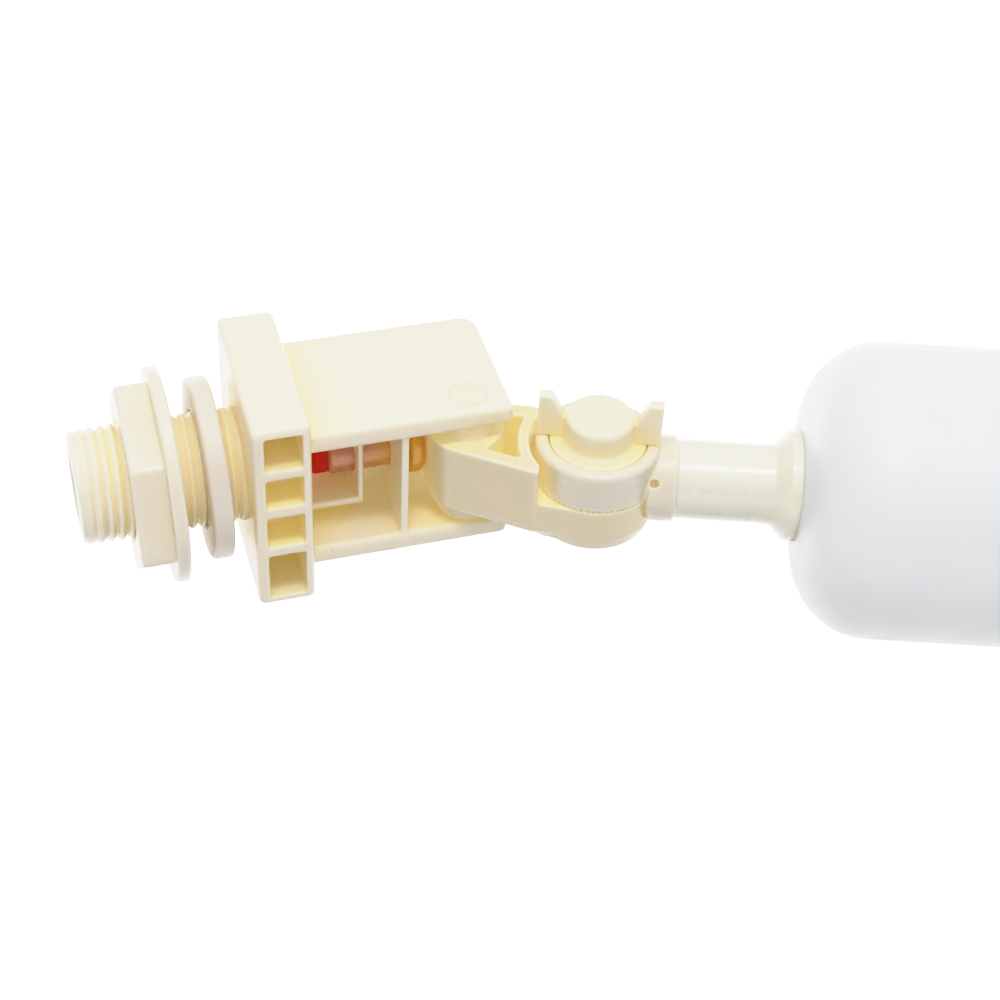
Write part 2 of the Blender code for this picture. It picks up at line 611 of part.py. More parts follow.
def main():
    clear_scene()
    parts = collection("float_valve")
    tools = collection("cutters")
    ivory = material("ivory_plastic", (0.91, 0.86, 0.70), 0.38)
    lever_ivory = material("lever_plastic", (0.90, 0.84, 0.69), 0.36)
    arm_ivory = material("arm_plastic", (0.92, 0.87, 0.74), 0.38)
    stem_ivory = material("stem_plastic", (0.90, 0.87, 0.70), 0.35)
    washer_white = material("washer_rubber", (0.93, 0.86, 0.80), 0.5)
    plunger_pink = material("plunger_plastic", (0.92, 0.70, 0.60), 0.4)
    seal_red = material("seal_rubber", (0.62, 0.05, 0.03), 0.55)
    float_white = material("float_plastic", (0.93, 0.95, 0.97), 0.45)
    build_valve_body(parts, tools, ivory)
    build_pivot_pin(parts, ivory)
    build_lock_nut(parts, tools, ivory)
    build_sealing_washer(parts, washer_white)
    build_plunger(parts, plunger_pink)
    build_plunger_seal(parts, seal_red)
    build_lever(parts, tools, lever_ivory)
    build_arm_head(parts, tools, arm_ivory)
    build_wing_bolt(parts, tools, arm_ivory)
    build_float_stem(parts, stem_ivory)
    build_float_shell(parts, float_white)


main()
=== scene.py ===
"""Looks of the float valve: soft-edged moulded pieces, translucent plastics, floor, lights and camera.

Shapes are modelled in millimetres and brought to the frame's metres at the end.  Axes are the frame's: X
along the inlet stem, Z along the pivot pin.  A turned shape is made about Z and then laid along X or along
the arm, so its "height" is a distance along that line (s for the arm).
"""

import json
import math

import bmesh
import bpy
from mathutils import Matrix, Vector, noise


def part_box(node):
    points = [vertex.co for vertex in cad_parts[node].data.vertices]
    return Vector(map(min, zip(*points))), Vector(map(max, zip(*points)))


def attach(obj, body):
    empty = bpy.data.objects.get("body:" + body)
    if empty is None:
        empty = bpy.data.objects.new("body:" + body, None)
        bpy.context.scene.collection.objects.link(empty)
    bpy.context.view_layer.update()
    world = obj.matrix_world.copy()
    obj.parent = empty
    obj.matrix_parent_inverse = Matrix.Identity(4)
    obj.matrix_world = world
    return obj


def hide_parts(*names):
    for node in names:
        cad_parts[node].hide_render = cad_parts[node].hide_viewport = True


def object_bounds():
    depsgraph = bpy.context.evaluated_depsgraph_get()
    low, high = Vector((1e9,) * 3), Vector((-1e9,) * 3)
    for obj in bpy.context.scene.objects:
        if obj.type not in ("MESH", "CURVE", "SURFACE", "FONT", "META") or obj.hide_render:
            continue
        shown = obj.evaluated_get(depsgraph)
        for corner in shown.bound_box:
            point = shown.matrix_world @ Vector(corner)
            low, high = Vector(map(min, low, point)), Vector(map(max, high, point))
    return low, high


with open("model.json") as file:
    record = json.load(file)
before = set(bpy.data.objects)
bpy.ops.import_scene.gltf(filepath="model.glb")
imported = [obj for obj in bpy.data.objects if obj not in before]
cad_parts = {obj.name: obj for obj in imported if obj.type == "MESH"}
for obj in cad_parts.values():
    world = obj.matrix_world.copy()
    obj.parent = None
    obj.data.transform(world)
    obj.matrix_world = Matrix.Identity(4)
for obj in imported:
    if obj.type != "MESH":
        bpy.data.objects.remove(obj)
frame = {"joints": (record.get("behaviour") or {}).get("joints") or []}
cad_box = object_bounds()

MM = 0.001


def node_range(node, axis):
    """Lowest and highest reach of a CAD node along one axis, in millimetres."""
    low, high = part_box(node)
    return low[axis] / MM, high[axis] / MM


joint_at = {joint["name"]: Vector(joint["pos_m"]) / MM for joint in frame["joints"] if "pos_m" in joint}
PIVOT = joint_at["lever_swing"].xy
CLAMP = joint_at["arm_angle"].xy

# Body block, plates, web, cage and nozzle
BLOCK = (10.4775, 16.95, 20.65)     # length from the sealing face, half width, half height
BLOCK_EDGE = 1.3
POCKET_X = (2.1, 8.85)
POCKETS = ((11.5, 18.8, 12.0), (3.0, 9.4, 6.6), (-6.3, 0.6, 6.6), (-18.7, -8.6, 12.0))  # low, high, depth
PLATE_END = node_range("valve_body", 0)[1]
PLATE_HALF = 13.85
PLATE_Z = (11.27, 15.35)
PLATE_CORNER_R = (1.2, 3.0)         # near side, far side
PLATE_EDGE = 1.0
WEB_X = (27.25, 28.6)
WEB_HALF = 13.3
CAGE_END = 21.6
CAGE_HALF = 7.66
CAGE_WALL = 1.55
CAGE_END_WALL = 1.0
NOZZLE_TIP = 10.75
NOZZLE_R = 3.6

# Inlet stem with its pipe thread
STEM_END = node_range("valve_body", 0)[0]
THREAD_R = 10.4775
THREAD_DEPTH = 0.8
THREAD_PITCH = 1.814
THREAD_STOP = -0.3
THREAD_RUN_OUT = 1.2
STEM_NOSE = 1.5                     # length of the rounded nose
STEM_ROOT = 0.8                     # how far the stem reaches into the block
WORN = (0.75, 1.0, 4.0)             # share worn off at the nose, where that starts to ease, over how far
INLET_R = 6.6
INLET_END = 7.0
ORIFICE_R = 2.2

# Nut and washer
NUT_X = node_range("lock_nut", 0)
NUT_FLANGE_X = -14.36
NUT_FLANGE_R = 19.6
NUT_HEX_R = 18.6
NUT_CORNER = math.radians(135.6)
STEM_BORE_R = 10.8
WASHER_X = node_range("sealing_washer", 0)
WASHER_R = 16.6

# Plunger and seal
PLUNGER_X = node_range("plunger", 0)
PLUNGER_R = 4.6
PLUNGER_HEAD_R = 6.7
PLUNGER_HEAD_X = 30.8
SEAL_X = node_range("plunger_seal", 0)[0]
SEAL_R = 4.2
SEAL_LIP = 0.5                      # how far the seal wraps the end of the plunger
SEAL_SPIGOT_R = 2.4

# Lever
PIN_R = 3.3
HUB_R = 6.75
BOSS_R = 4.9
NOSE = Vector((37.2, 0.0))
NOSE_R = 3.2
NOSE_Z = 6.0
LEVER_Z = (-7.1, 8.2)
LEVER_FLOOR = -5.3
NEAR_WALL = math.radians(-36.5)
NEAR_DRAFT = (-0.1, 0.95)           # how far the near wall stands out at the bottom and at the top
HUB_ARC = (math.radians(66.0), math.radians(229.0))
HUB_SWELL_FROM = math.radians(120)  # the hub takes up the draft from here to the end of its arc
WALL_T = 2.3
GUARD = Vector((63.2, -18.9))
GUARD_R = (13.6, 15.6)
GUARD_ARC = (math.radians(194.0), math.radians(126.0))
FAR_WALL = ((49.6, -8.0), (47.6, -7.1))
NECK_BACK = ((54.6, -6.6), (52.0, -9.5), (48.6, -15.0))

# Clamp
DECK_Z = -0.42
DECK_R = 11.3
BOWL_Z = -10.65
BOWL_R = 10.1
BOWL_SHOULDER_Z = -7.4
FILLET_Z = (LEVER_Z[0] - 2.6, LEVER_Z[0] + 1.2)
FILLET_ARC = (-2.2, 1.9)            # radians round the clamp's axis
HEAD_Z = (-0.35, 7.95)
SEAT_R = 9.0
SEAT_Z = 5.0
BOLT_BORE_R = 4.1
DISC_R = 8.85
DISC_TOP = 7.75
KNOB_R = 6.34
KNOB_TOP = 13.2
SHANK_R = 4.0
WING_ANGLE = math.radians(-22.5)
WING_R = 11.15
WING_T = 2.2
WING_Z = (8.02, 16.9)
TEETH = 64
NOTCH = (1.6, 0.55)                 # length along the radius, width
VENT_R = 0.8
VENT_TILT = math.radians(53)

# Float arm
ARM_ANGLE = math.radians(-18.9)
ARM_Z = -0.75
COLLAR_R = 8.0
COLLAR_S = (9.0, 14.8)
SOCKET_R = 5.3
SOCKET_S = COLLAR_S[0] + 3.4
TUBE_R = 7.32
TUBE_S = 14.4
SPIGOT_S = 12.7
PLUG_R = 6.7
PLUG_T = 7.0
FLARE_S = 37.1
FLARE_R = 10.2
FLOAT_R = 27.3
FLOAT_S = (36.6, 130.0)
FLOAT_NEAR_R = 13.6
FLOAT_FAR_R = 13.0
FLOAT_WALL = 1.6

# Softening: voxel size, smoothing passes, share of the faces kept
SOFT_BODY = (0.24, 5, 0.25)
SOFT_NUT = (0.2, 6, 0.22)
SOFT_LEVER = (0.18, 5, 0.3)
SOFT_HEAD = (0.17, 6, 0.5)
SOFT_BOLT = (0.14, 6, 0.3)

# Light and camera
FLOOR_DROP = 0.0002                 # metres between the part and the floor
FLOOR_REACH = 6.0
SKY = (0.05, 1.14)                  # straight down, straight up
SHOULDER = ((0.4, 0.4), (0.7, 0.70), (0.8, 0.785), (0.97, 0.87), (1.12, 0.90), (1.5, 0.96), (2.0, 1.0))
KEY_SIZE = (0.30, 0.10)
KEY_WATTS = 2.0
KEY_TARGET = Vector((0.05, -0.01, 0))
KEY_OFFSET = Vector((-0.05, -0.20, 0.78))
LENS_MM = 71.64
CAMERA_AT = (-0.040425, -0.269838, 0.240376)
CAMERA_ANGLES = (-18.62, 42.45, 3.39)   # azimuth, elevation, roll in degrees


# ---- outlines and meshes, in millimetres ----

def arc(centre, radius, start, end, steps):
    return [(centre[0] + radius * math.cos(start + (end - start) * i / steps),
             centre[1] + radius * math.sin(start + (end - start) * i / steps)) for i in range(steps + 1)]


def rounded(corners, closed=False, steps=6):
    """The line through corners (x, y, radius), with each corner rounded to its radius."""
    points = []
    count = len(corners)
    for i, (x, y, radius) in enumerate(corners):
        here = Vector((x, y))
        if radius == 0 or (not closed and i in (0, count - 1)):
            points.append((x, y))
            continue
        back = (Vector(corners[i - 1][:2]) - here).normalized()
        on = (Vector(corners[(i + 1) % count][:2]) - here).normalized()
        half = back.angle(on) / 2
        centre = here + (back + on).normalized() * (radius / math.sin(half))
        first = here + back * (radius / math.tan(half)) - centre
        last = here + on * (radius / math.tan(half)) - centre
        turn = first.angle_signed(last)
        for k in range(steps + 1):
            spoke = first.copy()
            spoke.rotate(Matrix.Rotation(-turn * k / steps, 2))
            points.append(tuple(centre + spoke))
    return points


def mesh_of(bm):
    bmesh.ops.recalc_face_normals(bm, faces=bm.faces)
    mesh = bpy.data.meshes.new("shape")
    bm.to_mesh(mesh)
    bm.free()
    return mesh


def loft(low, high, z0, z1):
    """Closed solid between two outlines with the same number of points."""
    bm = bmesh.new()
    rings = [[bm.verts.new((x, y, z)) for x, y in outline] for outline, z in ((low, z0), (high, z1))]
    count = len(low)
    for i in range(count):
        j = (i + 1) % count
        bm.faces.new((rings[0][i], rings[0][j], rings[1][j], rings[1][i]))
    bm.faces.new(rings[0])
    bm.faces.new(rings[1])
    if low != high:
        bmesh.ops.triangulate(bm, faces=bm.faces)
    return mesh_of(bm)


def prism(outline, z0, z1):
    return loft(outline, outline, z0, z1)


def box(low, high):
    """Block between two opposite corners."""
    outline = [(low[0], low[1]), (high[0], low[1]), (high[0], high[1]), (low[0], high[1])]
    return prism(outline, low[2], high[2])


def turned(profile, steps=96, closed=False):
    """Turn (radius, height) points about Z; an open profile runs from axis to axis."""
    bm = bmesh.new()
    rings = []
    for radius, height in profile:
        if radius < 1e-6:
            rings.append([bm.verts.new((0, 0, height))])
        else:
            rings.append([bm.verts.new((radius * math.cos(2 * math.pi * j / steps),
                                        radius * math.sin(2 * math.pi * j / steps), height))
                          for j in range(steps)])
    pairs = list(zip(rings, rings[1:]))
    if closed:
        pairs.append((rings[-1], rings[0]))
    for a, b in pairs:
        for j in range(steps):
            k = (j + 1) % steps
            corners = [a[j % len(a)], a[k % len(a)], b[k % len(b)], b[j % len(b)]]
            bm.faces.new(list(dict.fromkeys(corners)))
    return mesh_of(bm)


def rod(radius, z0, z1, steps):
    """Cylinder about Z."""
    return turned([(0, z1), (radius, z1), (radius, z0), (0, z0)], steps)


def moved(mesh, *matrices):
    """The mesh itself after each matrix in turn."""
    for matrix in matrices:
        mesh.transform(matrix)
    return mesh


ALONG_X = Matrix.Rotation(math.pi / 2, 4, "Y")
AT_CLAMP = Matrix.Translation((CLAMP.x, CLAMP.y, 0))
AT_PIVOT = Matrix.Translation((PIVOT.x, PIVOT.y, 0))
ALONG_ARM = (Matrix.Translation((CLAMP.x, CLAMP.y, ARM_Z)) @ Matrix.Rotation(ARM_ANGLE, 4, "Z")
             @ ALONG_X)


# ---- turning solids into soft-edged pieces ----

def object_of(name, data):
    obj = bpy.data.objects.new(name, data)
    bpy.context.scene.collection.objects.link(obj)
    return obj


def bevelled(mesh, width, segments=4):
    obj = object_of("bevelled", mesh)
    mod = obj.modifiers.new("Bevel", "BEVEL")
    mod.width = width
    mod.segments = segments
    mod.limit_method = "ANGLE"
    mod.angle_limit = math.radians(40)
    return applied(obj)


def applied(obj):
    """The mesh with its modifiers applied; the object goes."""
    bpy.context.view_layer.update()
    graph = bpy.context.evaluated_depsgraph_get()
    mesh = bpy.data.meshes.new_from_object(obj.evaluated_get(graph))
    bpy.data.objects.remove(obj)
    return mesh


def carved(base, steps):
    """Apply ("UNION" or "DIFFERENCE", mesh) steps to the base mesh."""
    obj = object_of("carved", base)
    tools = []
    for operation, mesh in steps:
        tool = object_of("tool", mesh)
        tools.append(tool)
        mod = obj.modifiers.new("Boolean", "BOOLEAN")
        mod.operation = operation
        mod.object = tool
        mod.solver = "EXACT"
    mesh = applied(obj)
    for tool in tools:
        bpy.data.objects.remove(tool)
    return mesh


def softened(mesh, voxel, passes, keep):
    """Round every edge and corner as a mould does: an even mesh, smoothed, then thinned out again."""
    obj = object_of("softened", mesh)
    remesh = obj.modifiers.new("Even", "REMESH")
    remesh.mode = "VOXEL"
    remesh.voxel_size = voxel
    smooth = obj.modifiers.new("Soft", "SMOOTH")
    smooth.factor = 0.5
    smooth.iterations = passes
    thin = obj.modifiers.new("Thin", "DECIMATE")
    thin.ratio = keep
    return applied(obj)


def piece(name, mesh, body, mat, nodes):
    """A finished piece of the object, in metres, riding on its body."""
    mesh.transform(Matrix.Scale(MM, 4))
    mesh.name = name
    mesh.materials.clear()
    mesh.materials.append(mat)
    mesh.shade_smooth()
    mesh.set_sharp_from_angle(angle=math.radians(50))
    obj = object_of(name, mesh)
    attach(obj, body)
    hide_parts(*nodes)


# ---- valve body ----

def plate(side):
    """The upper (1) or lower (-1) side plate."""
    z0, z1 = sorted((side * PLATE_Z[0], side * PLATE_Z[1]))
    root = BLOCK[0] - 2
    outline = rounded([(root, -PLATE_HALF, 0), (PLATE_END, -PLATE_HALF, PLATE_CORNER_R[0]),
                       (PLATE_END, PLATE_HALF, PLATE_CORNER_R[1]), (root, PLATE_HALF, 0)], closed=True)
    return bevelled(prism(outline, z0, z1), PLATE_EDGE)


def bore(radius, x0, x1, steps=72):
    return moved(rod(radius, x0, x1, steps), ALONG_X)


def body_steps():
    """What is added to the block, then what is cut from it."""
    yield "UNION", plate(1)
    yield "UNION", plate(-1)
    web_z = PLATE_Z[0] + 0.6
    yield "UNION", box((WEB_X[0], -WEB_HALF, -web_z), (WEB_X[1], WEB_HALF, web_z))
    for side in (1, -1):
        z0, z1 = sorted((side * CAGE_HALF, side * (CAGE_HALF - CAGE_WALL)))
        yield "UNION", box((BLOCK[0] - 1, -CAGE_HALF, z0), (CAGE_END, CAGE_HALF, z1))
    end_z = CAGE_HALF - 1
    yield "UNION", box((CAGE_END - CAGE_END_WALL, -CAGE_HALF, -end_z), (CAGE_END, CAGE_HALF, end_z))
    nozzle = [(0, NOZZLE_TIP), (NOZZLE_R - 0.6, NOZZLE_TIP), (NOZZLE_R, NOZZLE_TIP - 0.35),
              (NOZZLE_R, BLOCK[0] - 1), (0, BLOCK[0] - 1)]
    yield "UNION", moved(turned(nozzle, 48), ALONG_X)
    for low, high, depth in POCKETS:
        for side in (1, -1):
            y0, y1 = sorted((side * (BLOCK[1] + 1), side * (BLOCK[1] - depth)))
            yield "DIFFERENCE", box((POCKET_X[0], y0, low), (POCKET_X[1], y1, high))
    yield "DIFFERENCE", bore(PLUNGER_R + 0.1, CAGE_END - 2, WEB_X[1] + 1, 60)
    yield "DIFFERENCE", moved(rod(PIN_R, -16, 16, 60), AT_PIVOT)
    yield "DIFFERENCE", bore(INLET_R, STEM_END - 1, INLET_END)
    yield "DIFFERENCE", bore(ORIFICE_R, INLET_END - 1, 12.0, 40)


def valve_body(mat):
    low = (0, -BLOCK[1], -BLOCK[2])
    mesh = carved(bevelled(box(low, BLOCK), BLOCK_EDGE), body_steps())
    piece("valve_body", softened(mesh, *SOFT_BODY), "valve", mat, ["valve_body"])


def thread_radius(x, turn):
    """Outer radius of the stem at a place along it and an angle (a share of a turn)."""
    crest = 0.5 + 0.5 * math.cos(2 * math.pi * (x / THREAD_PITCH - turn))
    ridge = THREAD_R - THREAD_DEPTH * (1 - crest ** 0.6)
    run_in = min(1.0, max(0.0, (THREAD_STOP - x) / THREAD_RUN_OUT))
    radius = ridge * run_in + (THREAD_R - 0.05) * (1 - run_in)
    nose = min(1.0, (x - STEM_END) / STEM_NOSE)
    plain = THREAD_R - 0.3 - 0.95 * (1 - math.sqrt(1 - (1 - nose) ** 2))
    most, ease_from, ease_over = WORN
    worn = most * min(1.0, max(0.0, 1 - (x - STEM_END - ease_from) / ease_over))
    return min(radius * (1 - worn) + plain * worn, plain + 0.3)


def inlet_stem(mat):
    """Threaded stem with a rounded mouth; its thread is real geometry."""
    steps = 144
    spacing = THREAD_PITCH / 16
    mouth = rounded([(INLET_R, STEM_ROOT, 0), (INLET_R, STEM_END, 0.5), (9.0, STEM_END, 0.0)])
    rings = [[(radius, x)] * steps for radius, x in mouth]
    x = STEM_END + 0.3
    while x < STEM_ROOT:
        rings.append([(thread_radius(x, j / steps), x) for j in range(steps)])
        x += spacing
    bm = bmesh.new()
    grid = []
    for ring in rings:
        grid.append([])
        for j, (radius, x) in enumerate(ring):
            angle = 2 * math.pi * j / steps
            grid[-1].append(bm.verts.new((x, radius * math.sin(angle), radius * math.cos(angle))))
    for a, b in zip(grid, grid[1:] + grid[:1]):
        for j in range(steps):
            k = (j + 1) % steps
            bm.faces.new((a[j], a[k], b[k], b[j]))
    piece("inlet_stem", mesh_of(bm), "valve", mat, ["valve_body"])


def pivot_pin(mat):
    top = PLATE_Z[1]
    radius = PIN_R + 0.1
    profile = rounded([(0, -top, 0), (radius, -top, 0.15), (radius, top - 0.08, 0.2), (0, top - 0.06, 0)])
    mesh = moved(turned(profile, 72), AT_PIVOT)
    piece("pivot_pin", mesh, "valve", mat, ["pivot_pin"])


# ---- nut, washer, plunger ----

def lock_nut(mat):
    """Hexagon and flange with a bore that is chamfered at both ends."""
    corners = []
    for k in range(6):
        angle = NUT_CORNER + math.pi / 2 + k * math.pi / 3
        corners.append((NUT_HEX_R * math.cos(angle), NUT_HEX_R * math.sin(angle), 1.6))
    x0, x1 = NUT_X
    hexagon = bevelled(prism(rounded(corners, closed=True), x0, NUT_FLANGE_X + 1), 0.7, 3)
    flange = turned(rounded([(0, x1, 0), (NUT_FLANGE_R, x1, 0.7), (NUT_FLANGE_R, NUT_FLANGE_X, 0.7),
                             (0, NUT_FLANGE_X, 0)]), 144)
    hole = turned([(0, x1 + 1), (STEM_BORE_R + 1.7, x1 + 1), (STEM_BORE_R, x1 - 0.7),
                   (STEM_BORE_R, x0 + 0.9), (STEM_BORE_R + 1.9, x0 - 1), (0, x0 - 1)], 120)
    mesh = carved(hexagon, [("UNION", flange), ("DIFFERENCE", hole)])
    mesh = moved(softened(mesh, *SOFT_NUT), ALONG_X)
    piece("lock_nut", mesh, "nut", mat, ["lock_nut"])


def sealing_washer(mat):
    x0, x1 = WASHER_X
    inner = STEM_BORE_R + 0.1
    profile = rounded([(inner, x0, 0.3), (WASHER_R, x0, 0.9), (WASHER_R, x1, 0.6), (inner, x1, 0.3)],
                      closed=True)
    mesh = moved(turned(profile, 144, closed=True), ALONG_X)
    piece("sealing_washer", mesh, "washer", mat, ["sealing_washer"])


def plunger(mat):
    """Rod with a head at the lever and a pocket for the seal's spigot."""
    x0, x1 = PLUNGER_X
    x0 += SEAL_LIP
    pocket_r, pocket_end = SEAL_SPIGOT_R + 0.2, x0 + 2.2
    profile = rounded([(0, x1, 0), (PLUNGER_HEAD_R - 1.0, x1, 0.5), (PLUNGER_HEAD_R, x1 - 0.8, 0.5),
                       (PLUNGER_HEAD_R, PLUNGER_HEAD_X, 0.5), (PLUNGER_R, PLUNGER_HEAD_X, 0.4),
                       (PLUNGER_R, x0, 0.9), (pocket_r, x0, 0), (pocket_r, pocket_end, 0),
                       (0, pocket_end, 0)])
    mesh = moved(turned(profile), ALONG_X)
    piece("plunger", mesh, "plunger", mat, ["plunger"])


def plunger_seal(mat):
    back = PLUNGER_X[0] + SEAL_LIP - 0.05
    tip = back + 2.0
    profile = rounded([(0, tip, 0), (SEAL_SPIGOT_R, tip, 0), (SEAL_SPIGOT_R, back, 0), (SEAL_R, back, 0.2),
                       (SEAL_R, SEAL_X, 0.8), (0, SEAL_X, 0)])
    mesh = moved(turned(profile), ALONG_X)
    piece("plunger_seal", mesh, "plunger", mat, ["plunger_seal"])


# ---- lever ----

def near_wall_point(distance, inset=0.0):
    """A point on the near wall's outer face, a distance along it from where it leaves the hub."""
    out = Vector((math.sin(NEAR_WALL), -math.cos(NEAR_WALL)))
    run = Vector((math.cos(NEAR_WALL), math.sin(NEAR_WALL)))
    return tuple(PIVOT + out * (HUB_R - inset) + run * distance)


def lever_outline(draft):
    """Plan from hub to guard, with the near wall moved out by the draft."""
    far_end = GUARD + Vector((math.cos(GUARD_ARC[1]), math.sin(GUARD_ARC[1]))) * GUARD_R[1]
    points = [near_wall_point(0, -draft), near_wall_point(15.6, -draft), near_wall_point(16.3, 0.5 - draft)]
    points += arc(GUARD, GUARD_R[0], *GUARD_ARC, 24)
    points.append(tuple(far_end))
    start, end = HUB_ARC
    steps = 28
    for i in range(steps + 1):
        angle = start + (end - start) * i / steps
        share = min(1.0, max(0.0, (angle - HUB_SWELL_FROM) / (end - HUB_SWELL_FROM)))
        radius = HUB_R + max(0.0, draft) * share
        points.append((PIVOT.x + radius * math.cos(angle), PIVOT.y + radius * math.sin(angle)))
    return points


def pocket_outline():
    """Plan of the hollow between the two walls, the hub and the guard."""
    points = [near_wall_point(5.6, WALL_T - 0.4), near_wall_point(11.4, WALL_T - 0.4)]
    points += arc(GUARD, GUARD_R[1], math.radians(180), math.radians(140), 16)
    points += FAR_WALL
    points += arc(PIVOT, HUB_R, math.radians(8), math.radians(-52), 12)
    return points


def neck_outline():
    """Plan of the floor that joins the near wall to the deck."""
    points = [near_wall_point(12, 0.3), near_wall_point(16.2, 0.5)]
    points += arc(CLAMP, DECK_R, math.radians(-112), math.radians(108), 48)
    points += NECK_BACK
    return points


def nose_outline():
    """Hub circle and nose circle joined by their outer tangents."""
    line = NOSE - PIVOT
    heading = math.atan2(line.y, line.x)
    spread = math.acos((HUB_R - NOSE_R) / line.length)
    points = arc(NOSE, NOSE_R, heading - spread, heading + spread, 20)
    points += arc(PIVOT, HUB_R, heading + spread, heading + 2 * math.pi - spread, 32)
    return points


def fillet():
    """Fillet under the neck, from the near wall and the floor down to the bowl."""
    upper = [near_wall_point(9, -0.2), near_wall_point(14.5, -0.2)]
    upper += arc(CLAMP, DECK_R - 0.5, *FILLET_ARC, 40)
    lower = [near_wall_point(14.5, 3.0), near_wall_point(17.5, 2.6)]
    lower += arc(CLAMP, DECK_R - 1.2, *FILLET_ARC, 40)
    return loft(lower, upper, *FILLET_Z)


def lever_steps():
    """What is added to the hollow wedge, then what is cut from it."""
    yield "UNION", prism(nose_outline(), -NOSE_Z, NOSE_Z)
    yield "UNION", prism(neck_outline(), LEVER_Z[0] + 0.2, DECK_Z)
    yield "UNION", fillet()
    bowl = rounded([(0, DECK_Z, 0), (DECK_R, DECK_Z, 0), (DECK_R, BOWL_SHOULDER_Z, 2.6),
                    (BOWL_R + 0.3, BOWL_Z + 0.4, 1.0), (BOWL_R - 1.0, BOWL_Z, 1.0), (0, BOWL_Z, 0)])
    yield "UNION", moved(turned(bowl, 120), AT_CLAMP)
    reach = PLATE_Z[0] - 0.3
    yield "UNION", moved(rod(BOSS_R, -reach, reach, 60), AT_PIVOT)
    yield "DIFFERENCE", prism(pocket_outline(), LEVER_FLOOR, LEVER_Z[1] + 1)
    for centre, radius in ((AT_PIVOT, PIN_R + 0.1), (AT_CLAMP, BOLT_BORE_R)):
        hole = rod(radius, -14, 14, 50)
        # turned a little, so that its facets don't line up with those of the boss and the bowl
        yield "DIFFERENCE", moved(hole, Matrix.Rotation(0.056, 4, "Z"), centre)
    yield "DIFFERENCE", teeth(DECK_Z - 0.25, DECK_Z + 0.1)


def teeth(z0, z1):
    """Radial notches round the rim where the clamp's two halves meet."""
    bm = bmesh.new()
    for i in range(TEETH):
        turn = Matrix.Rotation(2 * math.pi * (i + 0.5) / TEETH, 3, "Z")
        notch = bmesh.ops.create_cube(bm, size=1.0)["verts"]
        bmesh.ops.scale(bm, vec=(*NOTCH, z1 - z0), verts=notch)
        bmesh.ops.translate(bm, vec=(DECK_R - 0.7, 0, (z0 + z1) / 2), verts=notch)
        bmesh.ops.rotate(bm, verts=notch, cent=(0, 0, 0), matrix=turn)
    return moved(mesh_of(bm), AT_CLAMP)


def lever(mat):
    wedge = loft(lever_outline(NEAR_DRAFT[0]), lever_outline(NEAR_DRAFT[1]), *LEVER_Z)
    mesh = softened(carved(wedge, lever_steps()), *SOFT_LEVER)
    piece("lever", mesh, "lever", mat, ["lever"])


# ---- clamp head, wing bolt ----

def collar():
    """Socket collar, kept clear of the lever's deck and of the bolt's seat."""
    s0, s1 = COLLAR_S
    profile = rounded([(0, s1, 0), (COLLAR_R, s1, 0.8), (COLLAR_R, s0, 1.2), (0, s0, 0)])
    deck = rod(DECK_R + 0.4, -12.0, HEAD_Z[0], 120)
    seat = rod(SEAT_R + 1, -12.0, 12.0, 120)
    return carved(moved(turned(profile), ALONG_ARM),
                  [("DIFFERENCE", moved(deck, AT_CLAMP)), ("DIFFERENCE", moved(seat, AT_CLAMP))])


def vent():
    """Cutter for the small hole in the collar, which points towards the near upper side."""
    along = Vector((math.cos(ARM_ANGLE), math.sin(ARM_ANGLE)))
    spot = CLAMP + along * 10.45 + Vector((along.y, -along.x)) * 6.2
    place = Matrix.Translation((spot.x, spot.y, ARM_Z + 3.8))
    tilt = Matrix.Rotation(ARM_ANGLE, 4, "Z") @ Matrix.Rotation(VENT_TILT, 4, "X")
    return moved(rod(VENT_R, -1.3, 2.5, 32), place @ tilt)


def arm_head(mat):
    low, high = HEAD_Z
    ring = rounded([(BOLT_BORE_R, SEAT_Z, 0), (SEAT_R, SEAT_Z, 0.1), (SEAT_R, high, 0.45),
                    (DECK_R, high, 1.1), (DECK_R, low, 0), (BOLT_BORE_R, low, 0)], closed=True)
    socket = rod(SOCKET_R, SOCKET_S, COLLAR_S[1] + 1, 60)
    mesh = carved(moved(turned(ring, 144, closed=True), AT_CLAMP),
                  [("UNION", collar()), ("DIFFERENCE", moved(socket, ALONG_ARM)), ("DIFFERENCE", vent()),
                   ("DIFFERENCE", teeth(low - 0.4, low + 0.35))])
    piece("arm_head", softened(mesh, *SOFT_HEAD), "arm", mat, ["arm_head"])


def wing_bolt(mat):
    """Knob, disc and shank turned as one, with two wings."""
    disc_low = SEAT_Z + 0.3
    tip = BOWL_Z + 1.0
    profile = rounded([(0, KNOB_TOP, 0), (KNOB_R - 0.05, KNOB_TOP, 1.0), (KNOB_R - 0.1, DISC_TOP, 0.9),
                       (DISC_R, DISC_TOP, 0.3), (DISC_R, disc_low, 0), (SHANK_R, disc_low, 0),
                       (SHANK_R, tip + 0.6, 0), (SHANK_R - 0.6, tip, 0), (0, tip, 0)])
    low, high = WING_Z
    outline = rounded([(4.5, low, 0), (WING_R, low, 0.3), (WING_R, high, 0.4), (8.6, high, 0.5),
                       (7.3, 14.3, 1.5), (6.1, KNOB_TOP - 1.4, 0), (4.5, KNOB_TOP - 2.0, 0)], closed=True)
    upright = Matrix.Rotation(math.pi / 2, 4, "X")
    steps = []
    for turn in (0, math.pi):
        wing = bevelled(prism(outline, -WING_T / 2, WING_T / 2), 0.2, 2)
        steps.append(("UNION", moved(wing, upright, Matrix.Rotation(WING_ANGLE + turn, 4, "Z"))))
    mesh = moved(softened(carved(turned(profile, 120), steps), *SOFT_BOLT), AT_CLAMP)
    piece("wing_bolt", mesh, "wing_bolt", mat, ["wing_bolt"])


